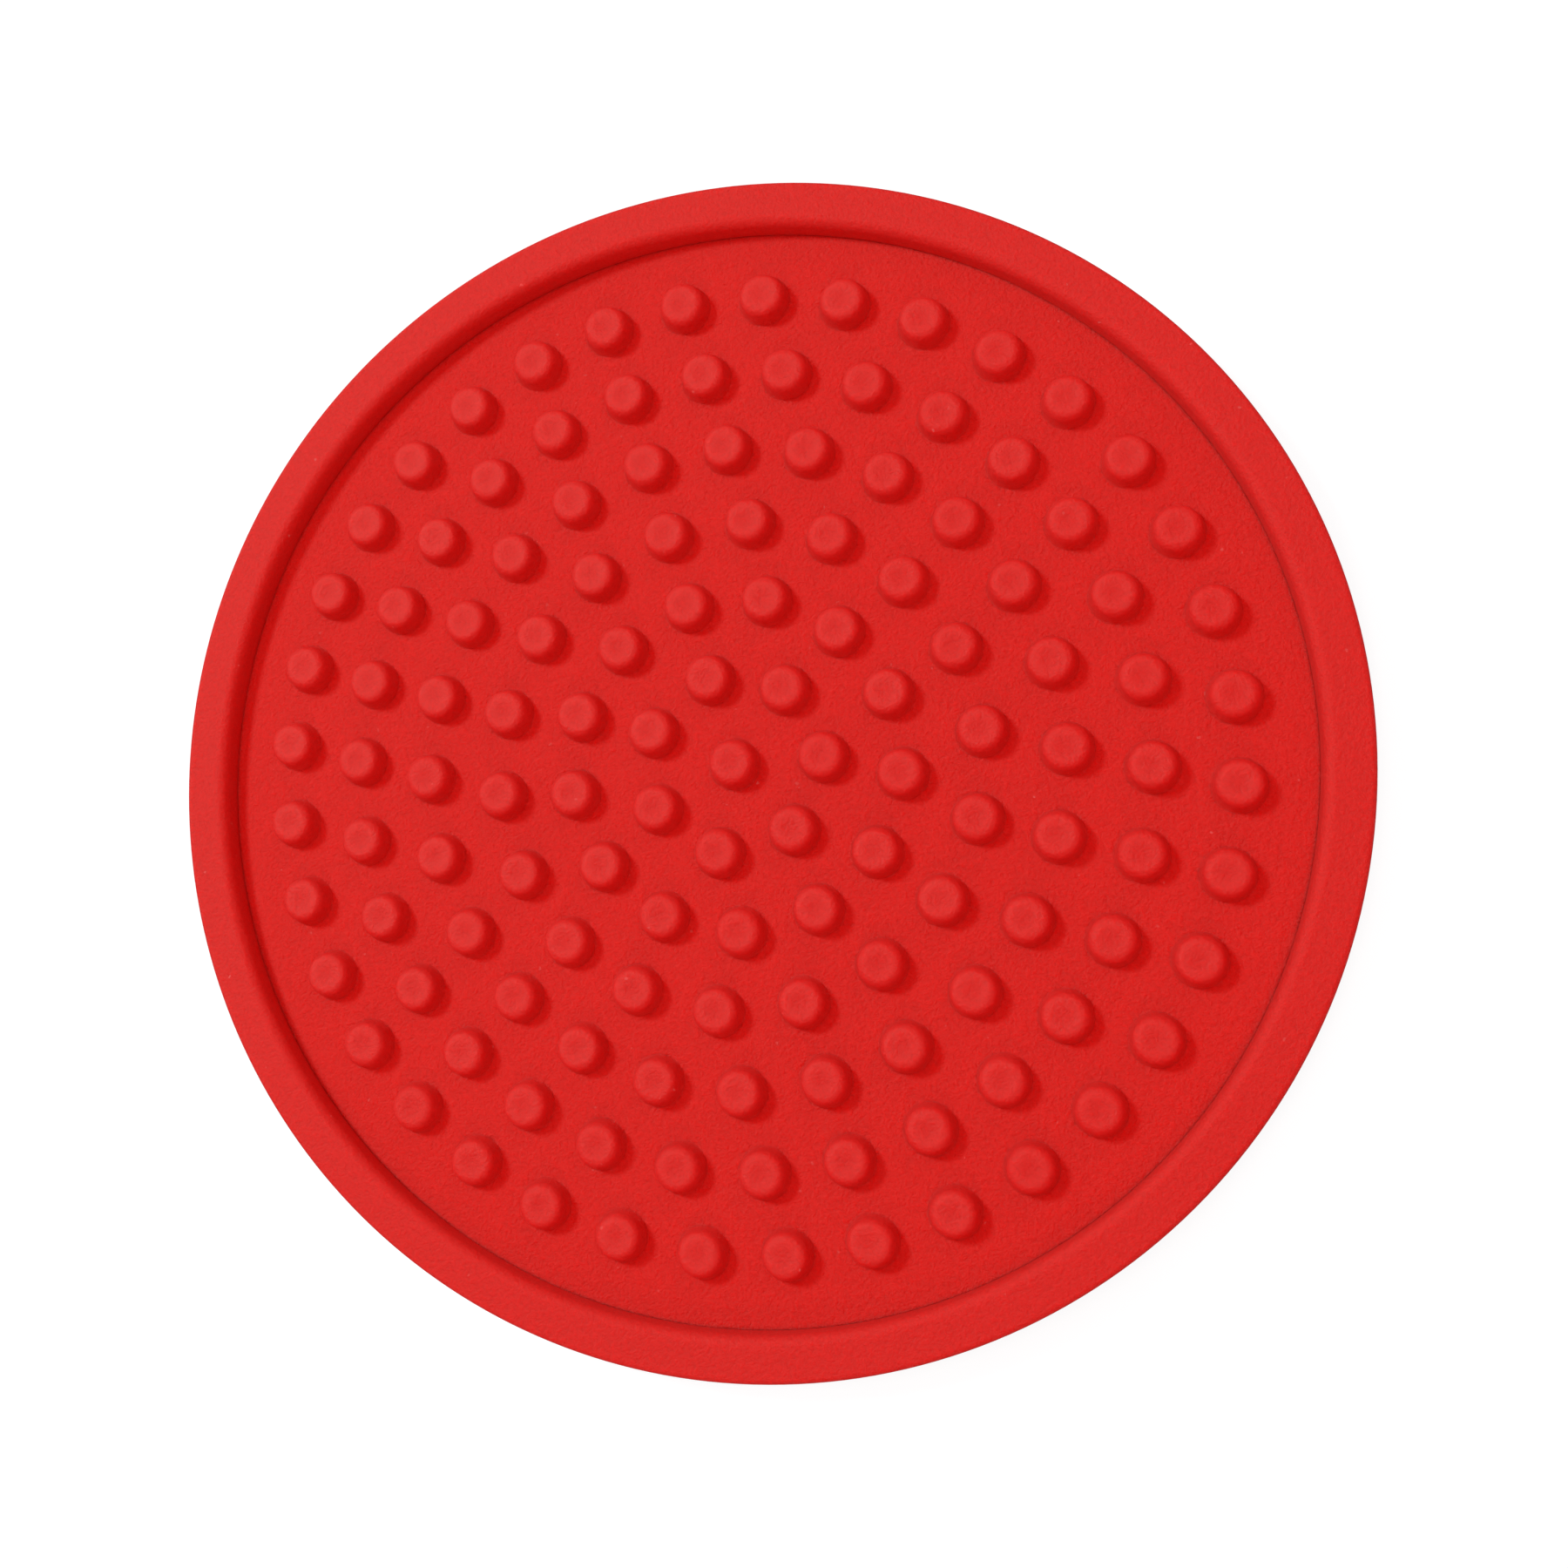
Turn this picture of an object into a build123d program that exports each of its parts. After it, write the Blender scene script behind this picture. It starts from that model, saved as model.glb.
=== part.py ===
"""Round silicone drinks coaster: a rimmed tray and the nubbed pad that drops into it.

Millimetres, +Z up. The origin is the centre of the underside, where the coaster stands.
The nub rings all share one ray, which is +Y, so the coaster is the same on both sides of
the YZ plane.
"""
import math
import os

from build123d import *

# Tray
outer_diameter = 100.0  # at the table
rim_width = 4.2  # wall of the tray, from the foot of the pad's recess to the outside
rim_height = 2.2  # how far the rim stands over the pad's floor
base_thickness = 1.4  # tray floor, from the table to the pad
wall_draft = 3.0  # degrees, inside and outside, so that the tray leaves its mould
rim_inner_round = 0.9
rim_outer_round = 0.4
foot_width = 5.0  # flat ring that the tray stands on
foot_relief = 0.4  # how far the middle of the underside is lifted off the table
foot_edge_break = 0.3

# Pad
pad_thickness = 1.4
pad_gap = 0.15  # radial play between the pad and the foot of the recess
pad_edge_break = 0.15

# Nubs
nub_diameter = 4.4  # at the pad's floor
nub_height = 1.8
nub_flats = 10  # flat sides that stand in for the round wall
nub_draft = 8.0  # degrees, so that the pad leaves its mould
nub_crown = 0.45  # height of the bevel round a nub's top
nub_crown_slope = 45.0  # degrees
first_ring_radius = 7.5
ring_pitch = 6.5  # from one ring to the next
nub_spacing = 7.0  # along a ring
nub_border = 2.5  # least bare floor between the outermost nubs and the edge of the pad

outer_radius = outer_diameter / 2
recess_radius = outer_radius - rim_width
pad_radius = recess_radius - pad_gap
pad_floor = base_thickness + pad_thickness
rim_top = pad_floor + rim_height
recess_depth = rim_top - base_thickness
wall_slope = math.tan(math.radians(wall_draft))
rim_outer_radius = outer_radius - rim_top * wall_slope
rim_inner_radius = recess_radius + recess_depth * wall_slope
field_radius = pad_radius - nub_border - nub_diameter / 2
ring_count = 1 + int((field_radius - first_ring_radius) / ring_pitch)
nub_foot_radius = nub_diameter / 2
nub_shoulder = nub_height - nub_crown
nub_shoulder_radius = nub_foot_radius - nub_shoulder * math.tan(math.radians(nub_draft))
standing = (Align.CENTER, Align.CENTER, Align.MIN)
same_height = 0.001  # how closely an edge has to lie at a height to be found there


def circles_at(part, height):
    """The circular edges of a part that lie at one height, smallest first."""
    circles = part.edges().filter_by(GeomType.CIRCLE)
    level = circles.filter_by_position(Axis.Z, height - same_height, height + same_height)
    return level.sort_by(SortBy.RADIUS)


with BuildPart() as tray:
    Cone(outer_radius, rim_outer_radius, rim_top, align=standing)
    with Locations((0, 0, base_thickness)):
        Cone(recess_radius, rim_inner_radius, recess_depth, align=standing, mode=Mode.SUBTRACT)
    with BuildSketch():
        Circle(outer_radius - foot_width)
    extrude(amount=foot_relief, mode=Mode.SUBTRACT)
    fillet(circles_at(tray, rim_top)[0], rim_inner_round)
    chamfer(circles_at(tray, rim_top)[-1], rim_outer_round)
    chamfer(circles_at(tray, 0)[-1], foot_edge_break)

with BuildPart() as nub:
    with BuildSketch():
        RegularPolygon(nub_foot_radius, nub_flats, major_radius=False)
    extrude(amount=nub_shoulder, taper=nub_draft)
    with BuildSketch(Plane.XY.offset(nub_shoulder)):
        RegularPolygon(nub_shoulder_radius, nub_flats, major_radius=False)
    extrude(amount=nub_crown, taper=nub_crown_slope)

nub_seats = [Location((0, 0, pad_floor))]
for ring in range(ring_count):
    ring_radius = first_ring_radius + ring * ring_pitch
    nubs_in_ring = round(math.tau * ring_radius / nub_spacing)
    for turn in range(nubs_in_ring):
        bearing = 90 + turn * 360 / nubs_in_ring
        nub_seats.append(Location((0, 0, pad_floor), (0, 0, bearing)) * Location((ring_radius, 0, 0)))

with BuildPart() as nub_pad:
    with BuildSketch(Plane.XY.offset(base_thickness)):
        Circle(pad_radius)
    extrude(amount=pad_thickness)
    chamfer(circles_at(nub_pad, pad_floor)[-1], pad_edge_break)
    with Locations(nub_seats):
        add(nub.part)

tray.part.label = "tray"
nub_pad.part.label = "nub_pad"

os.makedirs("parts", exist_ok=True)
export_step(tray.part, "parts/tray.step")
export_step(nub_pad.part, "parts/nub_pad.step")
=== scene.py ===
"""Finishes the silicone coaster: its two mouldings with their real roundings, the nub field and the skin."""
import math

import bpy
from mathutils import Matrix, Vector


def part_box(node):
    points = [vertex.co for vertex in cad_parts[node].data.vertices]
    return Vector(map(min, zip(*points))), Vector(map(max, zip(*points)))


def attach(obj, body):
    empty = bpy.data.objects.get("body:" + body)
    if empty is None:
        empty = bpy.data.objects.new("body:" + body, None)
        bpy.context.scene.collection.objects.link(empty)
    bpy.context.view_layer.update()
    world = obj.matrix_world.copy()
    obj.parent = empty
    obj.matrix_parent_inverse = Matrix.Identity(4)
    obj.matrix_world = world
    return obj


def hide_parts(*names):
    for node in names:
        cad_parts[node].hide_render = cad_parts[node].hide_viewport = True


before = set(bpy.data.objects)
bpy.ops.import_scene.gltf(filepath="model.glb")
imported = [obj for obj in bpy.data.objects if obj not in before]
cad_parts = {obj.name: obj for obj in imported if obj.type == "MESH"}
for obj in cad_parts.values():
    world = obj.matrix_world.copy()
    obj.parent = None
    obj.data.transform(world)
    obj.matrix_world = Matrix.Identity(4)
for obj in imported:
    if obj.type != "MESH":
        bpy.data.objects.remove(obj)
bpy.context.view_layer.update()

MM = 0.001
tray_low, tray_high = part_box("tray")
pad_low, pad_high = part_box("nub_pad")

# Sizes in millimetres. The outside sizes come from the frame.
OUTER_RADIUS = min(tray_high[0], -tray_low[0]) / MM
RIM_TOP = tray_high[2] / MM
NUB_TOP = pad_high[2] / MM
PAD_RADIUS = min(pad_high[0], -pad_low[0]) / MM
PAD_UNDERSIDE = pad_low[2] / MM
PAD_GAP = 0.15  # play between the solids, from which the recess's size follows
PAD_FLANK_GAP = 0.01  # the soft pad fills out to the recess wall, all but this much
RIM_HEIGHT = 2.2
RIM_INNER_ROUND = 0.9
RIM_OUTER_ROUND = 0.45
RECESS_FOOT_ROUND = 0.15
WALL_LEAN = math.tan(math.radians(3))  # the tray's walls are drafted
FOOT_WIDTH = 5.0  # flat ring that the tray stands on
FOOT_RELIEF = 0.4
FOOT_OUTER_ROUND = 0.3
FOOT_INNER_ROUND = 0.2
FOOT_RELIEF_ROUND = 0.15
PAD_FLOOR = RIM_TOP - RIM_HEIGHT
PAD_EDGE_ROUND = 0.03
PAD_UNDERSIDE_ROUND = 0.12
PAD_SHELL_LIP = 0.5  # the shell's strip of floor, which the rest of the floor is filled up to
NUB_HEIGHT = NUB_TOP - PAD_FLOOR
NUB_RADIUS = 2.2
NUB_SHOULDER_RADIUS = 1.82  # where the drafted wall would meet the top
NUB_CROWN_ROUND = 0.65
NUB_DISH = 0.09  # how far the middle of a nub's top is sunk
NUB_DISH_RADII = (0.35, 0.7, 1.0)  # of its flat bottom, of half its depth and of its brim
NUB_GROOVE = 0.03  # depth of the fine groove that the mould's pin leaves round a nub
NUB_GROOVE_WIDTH = 0.15
NUB_FOOT_INSET = 0.02  # how far the wall has drawn in at the height of the collar
NUB_LEAST_SCALE = (0.985, 0.985, 0.97)  # the smallest nub, against the full size
NUB_SEED = 7
NUB_SIDES = 24
MOULDING_SIDES = 256
FIRST_RING_RADIUS = 7.5
RING_PITCH = 6.5
RING_COUNT = 6
NUB_SPACING = 7.0
COLLAR = 0.04  # flat strip kept beside each rounding, so that the flats beside it shade flat
WELD = 0.002

# Sizes of the skin's patterns, in millimetres
GRAIN_SIZE = 0.3  # coarser than most spark-eroded skins, so that it shows
GRAIN_DEPTH = 0.4  # far deeper than a real skin's, so that it shows
POLISH_RISE = 1.4  # from the grained floor to the height at which the skin is polished
BLOOM_SIZE = 7
CREST_HIGHLIGHT_START = 0.12  # how far below the crests the painted highlight starts
CREST_HIGHLIGHT_FULL = 0.03  # how far below the crests it is full
LINT_SPACING = 1.5
LINT_WANDER = 0.4  # how far an outline strays from round
LINT_WANDER_SIZE = 0.5
LINT_SIZE = 0.08  # radius, as a share of the spacing
LINT_RARITY = 0.2  # share of the cells that hold a speck
LINT_SHOW = 0.3  # how much of the rubber's colour a speck hides


def rounded(corners, steps):
    """Points of a profile whose corners are (radius, height, rounding): each rounding becomes an arc."""
    points = []
    for index, (radius, height, rounding) in enumerate(corners):
        if not rounding:
            points.append((radius, height))
            continue
        before, after = corners[index - 1], corners[index + 1]
        back = (before[0] - radius, before[1] - height)
        on = (after[0] - radius, after[1] - height)
        back = [leg / math.hypot(*back) for leg in back]
        on = [leg / math.hypot(*on) for leg in on]
        half = math.acos(back[0] * on[0] + back[1] * on[1]) / 2
        reach = rounding / math.tan(half)
        middle = [back[0] + on[0], back[1] + on[1]]
        to_centre = rounding / math.sin(half) / math.hypot(*middle)
        centre = (radius + middle[0] * to_centre, height + middle[1] * to_centre)
        start = (radius + back[0] * reach, height + back[1] * reach)
        end = (radius + on[0] * reach, height + on[1] * reach)
        first = math.atan2(start[1] - centre[1], start[0] - centre[0])
        sweep = math.atan2(end[1] - centre[1], end[0] - centre[0]) - first
        sweep = (sweep + math.pi) % math.tau - math.pi
        points.append((start[0] + back[0] * COLLAR, start[1] + back[1] * COLLAR))
        for step in range(steps + 1):
            turn = first + sweep * step / steps
            points.append((centre[0] + rounding * math.cos(turn), centre[1] + rounding * math.sin(turn)))
        points.append((end[0] + on[0] * COLLAR, end[1] + on[1] * COLLAR))
    return points


def revolved(name, profile, sides):
    """A mesh turned about the Z axis, with its outside on the left along the profile and a pole on the axis."""
    vertices, rows, faces = [], [], []
    for radius, height in profile:
        if radius < 1e-6:
            rows.append([len(vertices)] * sides)
            vertices.append((0, 0, height * MM))
            continue
        rows.append([len(vertices) + side for side in range(sides)])
        for side in range(sides):
            turn = math.tau * side / sides
            vertices.append((radius * math.cos(turn) * MM, radius * math.sin(turn) * MM, height * MM))
    for inner, outer in zip(rows, rows[1:]):
        for side in range(sides):
            after = (side + 1) % sides
            corners = [inner[side], outer[side], outer[after], inner[after]]
            faces.append(list(dict.fromkeys(corners)))
    mesh = bpy.data.meshes.new(name)
    mesh.from_pydata(vertices, [], faces)
    mesh.polygons.foreach_set("use_smooth", [True] * len(mesh.polygons))
    mesh.validate()
    return mesh


def placed(name, mesh, material):
    mesh.materials.append(material)
    piece = bpy.data.objects.new(name, mesh)
    bpy.context.scene.collection.objects.link(piece)
    return piece


def linear(hex_colour):
    """An sRGB hex colour as linear red, green, blue and alpha."""
    levels = [int(hex_colour[start:start + 2], 16) / 255 for start in (1, 3, 5)]
    return (*[v / 12.92 if v <= 0.04045 else ((v + 0.055) / 1.055) ** 2.4 for v in levels], 1)


def add_node(tree, kind, inputs=None, **settings):
    """Adds a node. An input is given as a value or as the socket that feeds it."""
    node = tree.nodes.new(kind)
    for name, value in settings.items():
        setattr(node, name, value)
    for key, value in (inputs or {}).items():
        if isinstance(value, bpy.types.NodeSocket):
            tree.links.new(value, node.inputs[key])
        else:
            node.inputs[key].default_value = value
    return node


def silicone(name, colours, roughnesses, floor_height, crest_height):
    """Moulded silicone rubber: red light travels in it, and its skin copies the mould's spark-eroded grain.

    The mould's floor is left grained. What stands well above floor_height is polished, so it is a little less
    rough, and its colour is painted a deeper red as painted shade, while the grained floor's paler colour is
    painted sheen.
    What stands at crest_height is painted paler, as a painted highlight. The colours are of the grained floor,
    the polished tops and the crests' painted highlight, and the roughnesses are of the first two.
    """
    grained_colour_painted_sheen, polished_colour_painted_shade, crest_highlight_colour = colours
    grained_roughness, polished_roughness = roughnesses
    material = bpy.data.materials.new(name)
    material.use_nodes = True
    tree = material.node_tree
    tree.nodes.clear()
    place = add_node(tree, "ShaderNodeTexCoord").outputs["Object"]

    # Polish rises from the grained floor to the tops
    height = add_node(tree, "ShaderNodeSeparateXYZ", {"Vector": place}).outputs["Z"]
    risen = add_node(tree, "ShaderNodeMapRange", {
        "Value": height, "From Min": floor_height * MM,
        "From Max": (floor_height + POLISH_RISE) * MM}).outputs[0]
    cloud = add_node(tree, "ShaderNodeTexNoise", {
        "Vector": place, "Scale": 1 / (BLOOM_SIZE * MM), "Detail": 5}).outputs["Fac"]
    bloom = add_node(tree, "ShaderNodeMapRange", {
        "Value": cloud, "From Min": 0.3, "From Max": 0.7, "To Min": -0.2, "To Max": 0.2}).outputs[0]
    polish = add_node(tree, "ShaderNodeMath", {0: risen, 1: bloom}, operation="ADD", use_clamp=True).outputs[0]
    roughness = add_node(tree, "ShaderNodeMapRange", {
        "Value": polish, "To Min": grained_roughness, "To Max": polished_roughness}).outputs[0]

    # Painted light: the polished tops are painted a deeper red as painted shade, and the grained floor paler as
    # painted sheen
    body = add_node(tree, "ShaderNodeMix", {
        "Factor": polish, "A": linear(grained_colour_painted_sheen),
        "B": linear(polished_colour_painted_shade)}, data_type="RGBA").outputs["Result"]
    # Painted highlight: the crests are painted paler, standing in for the sheen that lies on them
    painted_crest_highlight = add_node(tree, "ShaderNodeMapRange", {
        "Value": height, "From Min": (crest_height - CREST_HIGHLIGHT_START) * MM,
        "From Max": (crest_height - CREST_HIGHLIGHT_FULL) * MM}).outputs[0]
    body = add_node(tree, "ShaderNodeMix", {
        "Factor": painted_crest_highlight, "A": body, "B": linear(crest_highlight_colour)}, data_type="RGBA").outputs["Result"]

    # Lint: one speck in a few of the cells
    wander = add_node(tree, "ShaderNodeTexNoise", {
        "Vector": place, "Scale": 1 / (LINT_WANDER_SIZE * MM), "Detail": 1}).outputs["Color"]
    strayed = add_node(tree, "ShaderNodeVectorMath", {
        0: wander, 1: (LINT_WANDER * MM,) * 3, 2: place}, operation="MULTIPLY_ADD").outputs[0]
    cells = add_node(tree, "ShaderNodeTexVoronoi", {
        "Vector": strayed, "Scale": 1 / (LINT_SPACING * MM)}).outputs
    near = add_node(tree, "ShaderNodeMath", {
        0: cells["Distance"], 1: LINT_SIZE}, operation="LESS_THAN").outputs[0]
    chosen = add_node(tree, "ShaderNodeSeparateColor", {"Color": cells["Color"]}).outputs[0]
    rare = add_node(tree, "ShaderNodeMath", {0: chosen, 1: LINT_RARITY}, operation="LESS_THAN").outputs[0]
    speck = add_node(tree, "ShaderNodeMath", {0: near, 1: rare}, operation="MULTIPLY").outputs[0]
    speck = add_node(tree, "ShaderNodeMath", {0: speck, 1: LINT_SHOW}, operation="MULTIPLY").outputs[0]
    specked = add_node(tree, "ShaderNodeMix", {
        "Factor": speck, "A": body, "B": linear("#F0807A")}, data_type="RGBA").outputs["Result"]

    # Grain: its hollows hold a little more shade than its crests
    fine = add_node(tree, "ShaderNodeTexNoise", {
        "Vector": place, "Scale": 1 / (GRAIN_SIZE * MM), "Detail": 3, "Roughness": 0.7}).outputs["Fac"]
    share = add_node(tree, "ShaderNodeMapRange", {"Value": risen, "To Min": 1.0, "To Max": 0.35}).outputs[0]
    grain = add_node(tree, "ShaderNodeMath", {0: fine, 1: share}, operation="MULTIPLY").outputs[0]
    hollow = add_node(tree, "ShaderNodeMapRange", {
        "Value": fine, "From Min": 0.3, "From Max": 0.7, "To Min": 0.9, "To Max": 1.07}).outputs[0]
    shade = add_node(tree, "ShaderNodeCombineColor", {0: hollow, 1: hollow, 2: hollow}).outputs[0]
    skin_colour = add_node(tree, "ShaderNodeMix", {
        "Factor": 1.0, "A": specked, "B": shade}, data_type="RGBA", blend_type="MULTIPLY").outputs["Result"]
    bump = add_node(tree, "ShaderNodeBump", {"Height": grain, "Distance": GRAIN_DEPTH * MM}).outputs["Normal"]

    # The IOR is a look and not a measure: silicone's own is about 1.41. It makes the matt sheen stronger.
    skin = add_node(tree, "ShaderNodeBsdfPrincipled", {
        "Base Color": skin_colour, "Roughness": roughness, "IOR": 1.67, "Specular IOR Level": 1.0,
        "Specular Tint": (1.0, 0.98, 0.87, 1.0), "Normal": bump,
        "Subsurface Weight": 1.0, "Subsurface Radius": (1.0, 0.085, 0.07), "Subsurface Scale": 0.72 * MM,
    })
    add_node(tree, "ShaderNodeOutputMaterial", {"Surface": skin.outputs["BSDF"]})
    return material


# The pad's colours: the grained floor paler as painted sheen, the tops deeper as painted shade, the crests
# paler as painted highlight
pad_skin = silicone(
    "silicone_rubber_moulded_grained", ("#E81612", "#DE0D0B", "#E01B18"), (0.71, 0.7), PAD_FLOOR, NUB_TOP)
tray_skin = silicone(
    "silicone_rubber_moulded_satin", ("#DE110E", "#DE110E", "#DE110E"), (0.74, 0.74), PAD_UNDERSIDE, RIM_TOP)


# Tray
def make_tray():
    recess = PAD_RADIUS + PAD_GAP
    corners = [
        (0, PAD_UNDERSIDE, 0),
        (recess, PAD_UNDERSIDE, RECESS_FOOT_ROUND),
        (recess + (RIM_TOP - PAD_UNDERSIDE) * WALL_LEAN, RIM_TOP, RIM_INNER_ROUND),
        (OUTER_RADIUS - RIM_TOP * WALL_LEAN, RIM_TOP, RIM_OUTER_ROUND),
        (OUTER_RADIUS, 0, FOOT_OUTER_ROUND),
        (OUTER_RADIUS - FOOT_WIDTH, 0, FOOT_INNER_ROUND),
        (OUTER_RADIUS - FOOT_WIDTH, FOOT_RELIEF, FOOT_RELIEF_ROUND),
        (0, FOOT_RELIEF, 0),
    ]
    mesh = revolved("tray_moulding", rounded(corners, steps=10), MOULDING_SIDES)
    return placed("tray_moulding", mesh, tray_skin)


# Pad
def nub_field_tree():
    """Rings of nubs, all with a nub on +Y, welded into a floor that fills the space between them."""
    tree = bpy.data.node_groups.new("nub_field", "GeometryNodeTree")
    sockets = tree.interface
    for name, kind in (
        ("First ring radius", "NodeSocketFloat"), ("Ring pitch", "NodeSocketFloat"),
        ("Ring count", "NodeSocketInt"), ("Nub spacing", "NodeSocketFloat"),
        ("Floor height", "NodeSocketFloat"), ("Nub", "NodeSocketObject"),
        ("Pad shell", "NodeSocketObject"), ("Least scale", "NodeSocketVector"),
        ("Seed", "NodeSocketInt"), ("Material", "NodeSocketMaterial"),
    ):
        sockets.new_socket(name=name, in_out="INPUT", socket_type=kind)
    sockets.new_socket(name="Geometry", in_out="OUTPUT", socket_type="NodeSocketGeometry")
    given = add_node(tree, "NodeGroupInput").outputs

    # Each turn of the loop adds the seats of one ring
    ring_start = add_node(tree, "GeometryNodeRepeatInput")
    ring_end = add_node(tree, "GeometryNodeRepeatOutput")
    ring_start.pair_with_output(ring_end)
    ring_end.repeat_items.new("INT", "Ring")
    tree.links.new(given["Ring count"], ring_start.inputs["Iterations"])
    ring = ring_start.outputs["Ring"]
    radius = add_node(tree, "ShaderNodeMath", {
        0: ring, 1: given["Ring pitch"], 2: given["First ring radius"]}, operation="MULTIPLY_ADD").outputs[0]
    girth = add_node(tree, "ShaderNodeMath", {0: radius, 1: math.tau}, operation="MULTIPLY").outputs[0]
    share = add_node(tree, "ShaderNodeMath", {0: girth, 1: given["Nub spacing"]}, operation="DIVIDE").outputs[0]
    nubs = add_node(tree, "ShaderNodeMath", {0: share}, operation="ROUND").outputs[0]
    circle = add_node(tree, "GeometryNodeMeshCircle", {"Vertices": nubs, "Radius": radius}).outputs["Mesh"]
    seats = add_node(tree, "GeometryNodeMeshToPoints", {"Mesh": circle}).outputs["Points"]
    gathered = add_node(tree, "GeometryNodeJoinGeometry", {"Geometry": ring_start.outputs["Geometry"]})
    tree.links.new(seats, gathered.inputs["Geometry"])
    tree.links.new(gathered.outputs["Geometry"], ring_end.inputs["Geometry"])
    next_ring = add_node(tree, "ShaderNodeMath", {0: ring, 1: 1.0}, operation="ADD").outputs[0]
    tree.links.new(next_ring, ring_end.inputs["Ring"])

    # One more seat in the middle. A ring starts on +X, so all are turned to start on +Y.
    middle = add_node(tree, "GeometryNodePoints", {"Count": 1}).outputs[0]
    all_seats = add_node(tree, "GeometryNodeJoinGeometry", {"Geometry": ring_end.outputs["Geometry"]})
    tree.links.new(middle, all_seats.inputs["Geometry"])
    raised = add_node(tree, "ShaderNodeCombineXYZ", {"Z": given["Floor height"]}).outputs[0]
    turned = add_node(tree, "GeometryNodeTransform", {
        "Geometry": all_seats.outputs["Geometry"], "Translation": raised,
        "Rotation": (0, 0, math.pi / 2)}).outputs["Geometry"]

    # A nub on each seat, with its own X axis turned outwards
    nub = add_node(tree, "GeometryNodeObjectInfo", {"Object": given["Nub"]}).outputs["Geometry"]
    size = add_node(tree, "FunctionNodeRandomValue", {
        0: given["Least scale"], 1: (1, 1, 1), "Seed": given["Seed"]}, data_type="FLOAT_VECTOR").outputs[0]
    outward = add_node(tree, "FunctionNodeAlignRotationToVector", {
        "Vector": add_node(tree, "GeometryNodeInputPosition").outputs[0]}, axis="X").outputs[0]
    spin = add_node(tree, "FunctionNodeRotationToEuler", {"Rotation": outward}).outputs[0]
    flat = add_node(tree, "ShaderNodeVectorMath", {0: spin, 1: (0, 0, 1)}, operation="MULTIPLY").outputs[0]
    instances = add_node(tree, "GeometryNodeInstanceOnPoints", {
        "Points": turned, "Instance": nub, "Rotation": flat, "Scale": size}).outputs[0]
    nub_mesh = add_node(tree, "GeometryNodeRealizeInstances", {"Geometry": instances}).outputs[0]

    # The floor fills the space between the open edge of the shell and those of the nubs
    shell = add_node(tree, "GeometryNodeObjectInfo", {"Object": given["Pad shell"]}).outputs["Geometry"]
    parts = add_node(tree, "GeometryNodeJoinGeometry", {"Geometry": nub_mesh})
    tree.links.new(shell, parts.inputs["Geometry"])
    faces_beside = add_node(tree, "GeometryNodeInputMeshEdgeNeighbors").outputs[0]
    open_edge = add_node(tree, "FunctionNodeCompare", {
        2: faces_beside, 3: 1}, data_type="INT", operation="EQUAL").outputs[0]
    edges = add_node(tree, "GeometryNodeMeshToCurve", {
        "Mesh": parts.outputs["Geometry"], "Selection": open_edge}).outputs[0]
    floor = add_node(tree, "GeometryNodeFillCurve", {"Curve": edges}, mode="TRIANGLES").outputs[0]
    floor = add_node(tree, "GeometryNodeTransform", {"Geometry": floor, "Translation": raised}).outputs[0]
    whole = add_node(tree, "GeometryNodeJoinGeometry", {"Geometry": parts.outputs["Geometry"]})
    tree.links.new(floor, whole.inputs["Geometry"])
    welded = add_node(tree, "GeometryNodeMergeByDistance", {
        "Geometry": whole.outputs["Geometry"], "Distance": WELD * MM}).outputs[0]
    smooth = add_node(tree, "GeometryNodeSetShadeSmooth", {"Geometry": welded}).outputs[0]
    real = add_node(tree, "GeometryNodeRealizeInstances", {"Geometry": smooth}).outputs[0]
    coated = add_node(tree, "GeometryNodeSetMaterial", {
        "Geometry": real, "Material": given["Material"]}).outputs[0]
    add_node(tree, "NodeGroupOutput", {"Geometry": coated})
    return tree


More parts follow.
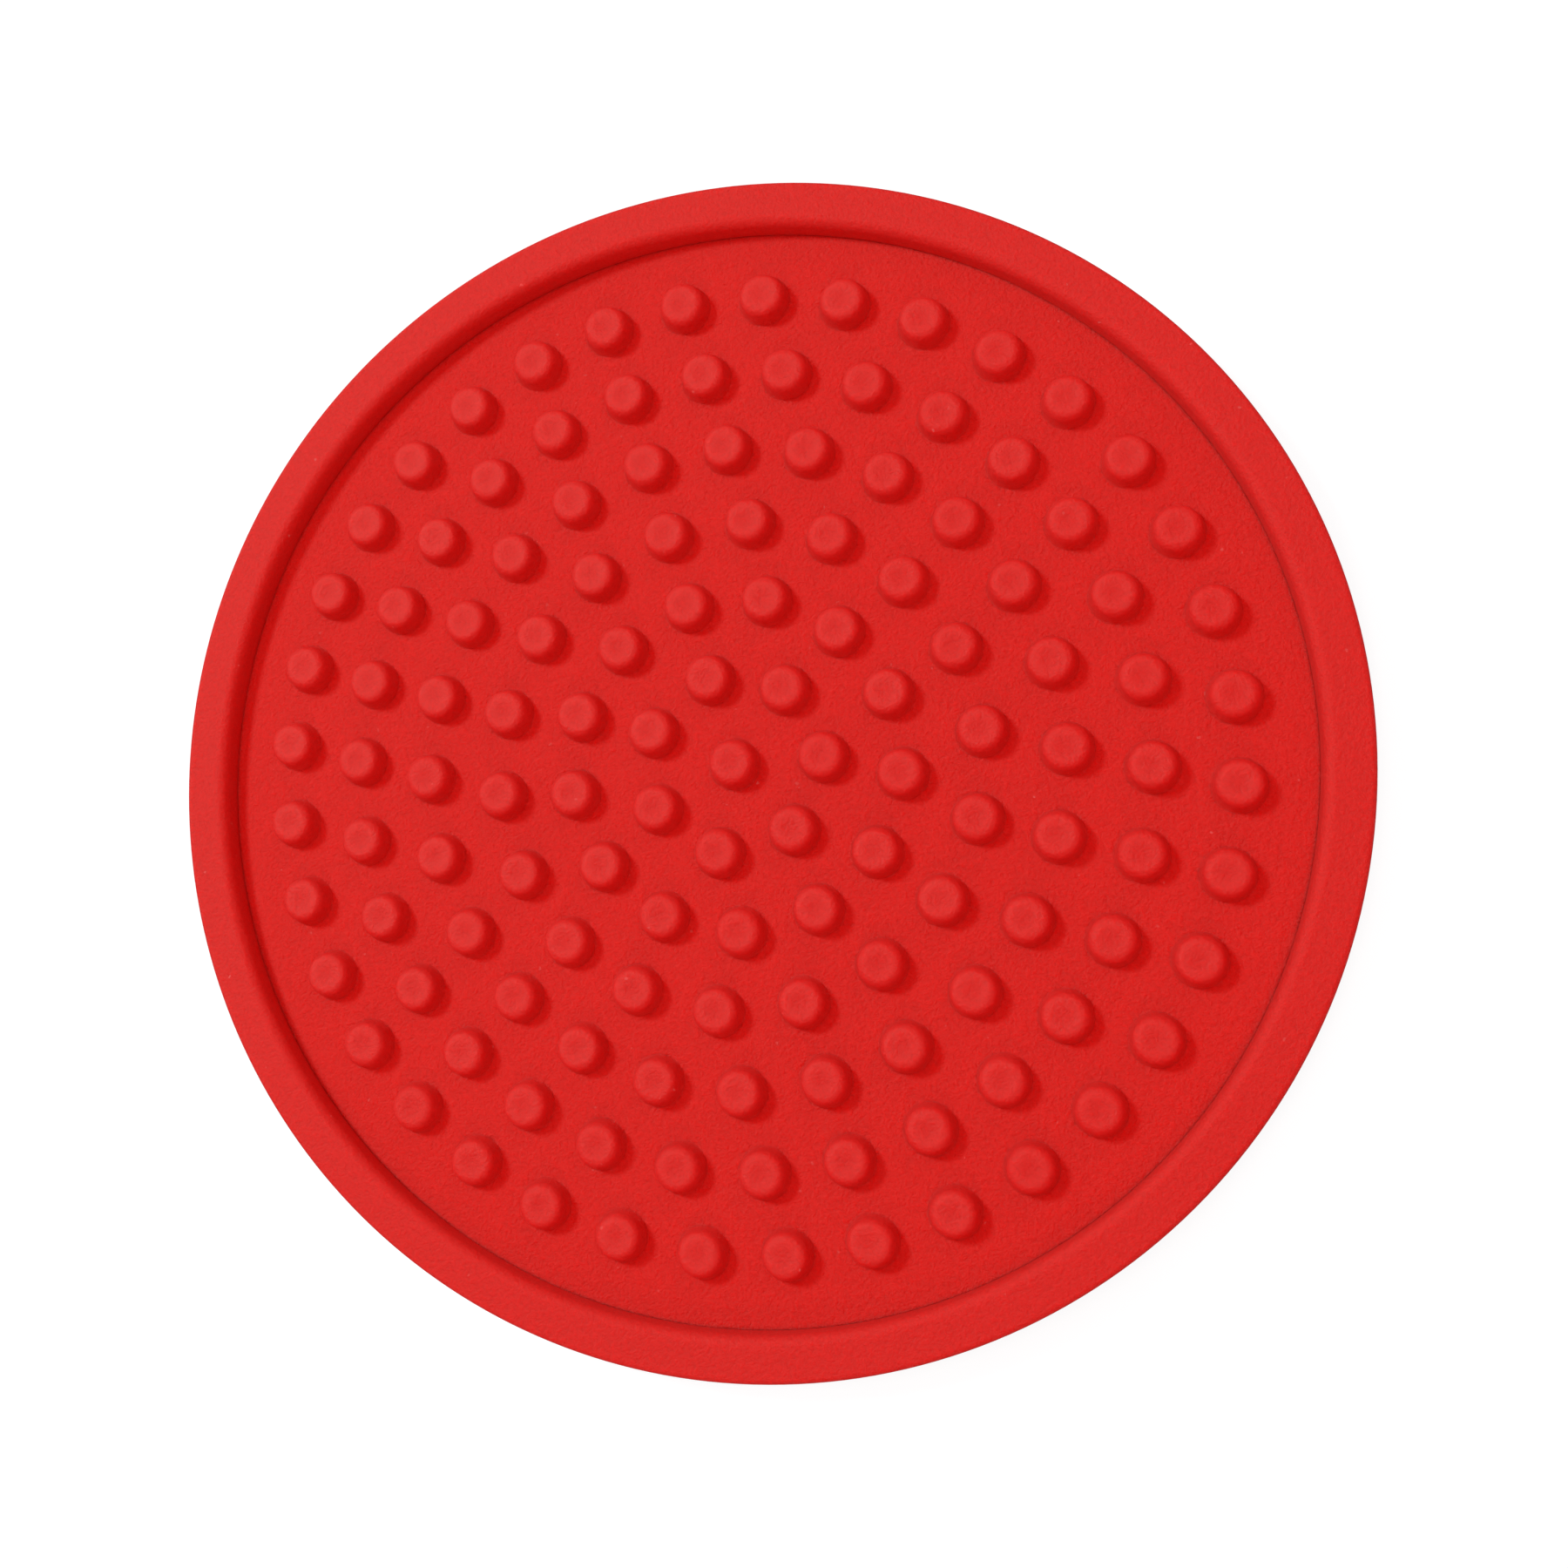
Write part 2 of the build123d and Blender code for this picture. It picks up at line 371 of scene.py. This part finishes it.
def make_pad():
    bottom, halfway, brim = NUB_DISH_RADII
    nub_corners = [
        (0, NUB_HEIGHT - NUB_DISH, 0),
        (bottom, NUB_HEIGHT - NUB_DISH, 0),
        (halfway, NUB_HEIGHT - NUB_DISH / 2, 0),
        (brim, NUB_HEIGHT, 0),
        (NUB_SHOULDER_RADIUS, NUB_HEIGHT, NUB_CROWN_ROUND),
        (NUB_RADIUS - NUB_FOOT_INSET, COLLAR, 0),
        (NUB_RADIUS, -NUB_GROOVE, 0),
        (NUB_RADIUS + NUB_GROOVE_WIDTH, 0, 0),
        (NUB_RADIUS + 2 * NUB_GROOVE_WIDTH, 0, 0),
    ]
    nub = placed("nub", revolved("nub", rounded(nub_corners, steps=3), NUB_SIDES), pad_skin)
    flank = PAD_RADIUS + PAD_GAP - PAD_FLANK_GAP
    shell_corners = [
        (PAD_RADIUS - PAD_SHELL_LIP, PAD_FLOOR, 0),
        (flank + (PAD_FLOOR - PAD_UNDERSIDE) * WALL_LEAN, PAD_FLOOR, PAD_EDGE_ROUND),
        (flank, PAD_UNDERSIDE, PAD_UNDERSIDE_ROUND),
        (0, PAD_UNDERSIDE, 0),
    ]
    shell_mesh = revolved("pad_shell", rounded(shell_corners, steps=4), MOULDING_SIDES)
    shell = placed("pad_shell", shell_mesh, pad_skin)
    pad = placed("nub_pad_moulding", bpy.data.meshes.new("nub_pad_moulding"), pad_skin)
    maker = pad.modifiers.new("nub_field", "NODES")
    maker.node_group = nub_field_tree()
    values = {
        "First ring radius": FIRST_RING_RADIUS * MM, "Ring pitch": RING_PITCH * MM, "Ring count": RING_COUNT,
        "Nub spacing": NUB_SPACING * MM, "Floor height": PAD_FLOOR * MM, "Nub": nub, "Pad shell": shell,
        "Least scale": NUB_LEAST_SCALE, "Seed": NUB_SEED, "Material": pad_skin,
    }
    for socket in maker.node_group.interface.items_tree:
        if socket.in_out == "INPUT":
            maker[socket.identifier] = values[socket.name]
    ready = pad.evaluated_get(bpy.context.evaluated_depsgraph_get())
    mesh = bpy.data.meshes.new_from_object(ready)
    pad.modifiers.remove(maker)
    pad.data = mesh
    for helper in (nub, shell):
        bpy.data.objects.remove(helper)
    return pad


tray = make_tray()
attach(tray, "tray")
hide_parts("tray")

pad = make_pad()
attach(pad, "pad")
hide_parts("nub_pad")


# Floor, light and camera
def make_floor():
    material = bpy.data.materials.new("pale_table")
    material.use_nodes = True
    tree = material.node_tree
    tree.nodes.clear()
    matt = add_node(tree, "ShaderNodeBsdfDiffuse", {"Color": linear("#909090")})
    lift = add_node(tree, "ShaderNodeEmission", {"Color": (1, 1, 1, 1), "Strength": 0.78})
    nothing = add_node(tree, "ShaderNodeEmission", {"Strength": 0.0})
    # The camera sees the table near white, and it keeps the coaster's shadow
    seen = add_node(tree, "ShaderNodeLightPath").outputs["Is Camera Ray"]
    glow = add_node(tree, "ShaderNodeMixShader", {0: seen, 1: nothing.outputs[0], 2: lift.outputs[0]})
    total = add_node(tree, "ShaderNodeAddShader", {0: matt.outputs[0], 1: glow.outputs[0]})
    add_node(tree, "ShaderNodeOutputMaterial", {"Surface": total.outputs[0]})
    mesh = bpy.data.meshes.new("table")
    reach = 2
    corners = [(-reach, -reach, 0), (reach, -reach, 0), (reach, reach, 0), (-reach, reach, 0)]
    mesh.from_pydata(corners, [], [(0, 1, 2, 3)])
    placed("table", mesh, material)


def make_light():
    world = bpy.data.worlds.new("studio")
    bpy.context.scene.world = world
    world.use_nodes = True
    tree = world.node_tree
    tree.nodes.clear()
    # The camera sees a white room, and the rubber's sheen a dim one
    ray = add_node(tree, "ShaderNodeLightPath").outputs
    dome = add_node(tree, "ShaderNodeBackground", {"Color": (1, 1, 1, 1), "Strength": 0.46})
    dim_room = add_node(tree, "ShaderNodeBackground", {"Color": (1, 1, 1, 1), "Strength": 0.05})
    white = add_node(tree, "ShaderNodeBackground", {"Color": (1, 1, 1, 1), "Strength": 1.0})
    mixed = add_node(tree, "ShaderNodeMixShader", {
        0: ray["Is Glossy Ray"], 1: dome.outputs[0], 2: dim_room.outputs[0]})
    mixed = add_node(tree, "ShaderNodeMixShader", {
        0: ray["Is Camera Ray"], 1: mixed.outputs[0], 2: white.outputs[0]})
    add_node(tree, "ShaderNodeOutputWorld", {"Surface": mixed.outputs[0]})

    # Of the lamps, the sheen shows the key alone
    add_softbox("key_softbox", 0.2, 2.8, 133, 50)
    for name, width, power, bearing, elevation in (
        ("front_softbox", 0.15, 0.95, -107, 41), ("side_softbox", 0.6, 1.0, 45, 35),
        ("overhead_softbox", 0.6, 3.5, 0, 90),
    ):
        add_softbox(name, width, power, bearing, elevation).visible_glossy = False


def add_softbox(name, width, power, bearing, elevation):
    """A round lamp that faces the coaster from 1 m away, at a bearing and an elevation in degrees."""
    lamp = bpy.data.lights.new(name, "AREA")
    lamp.shape = "DISK"
    lamp.size = width
    lamp.energy = power
    softbox = bpy.data.objects.new(name, lamp)
    turn, rise = math.radians(bearing), math.radians(elevation)
    out = Vector((math.cos(turn) * math.cos(rise), math.sin(turn) * math.cos(rise), math.sin(rise)))
    softbox.location = out
    softbox.rotation_euler = out.to_track_quat("Z", "Y").to_euler()
    bpy.context.scene.collection.objects.link(softbox)
    return softbox


def make_camera():
    data = bpy.data.cameras.new("camera")
    data.sensor_width = 36
    data.lens = 42.43
    data.shift_x = 0.1111
    data.shift_y = -0.0167
    data.clip_start = 0.001
    camera = bpy.data.objects.new("camera", data)
    camera.location = (26.19 * MM, -26.18 * MM, 153.13 * MM)
    camera.rotation_euler = [math.radians(v) for v in (6.921, 16.034, -15.795)]
    bpy.context.scene.collection.objects.link(camera)
    bpy.context.scene.camera = camera


make_floor()
make_light()
make_camera()
bpy.context.scene.view_settings.view_transform = "Standard"
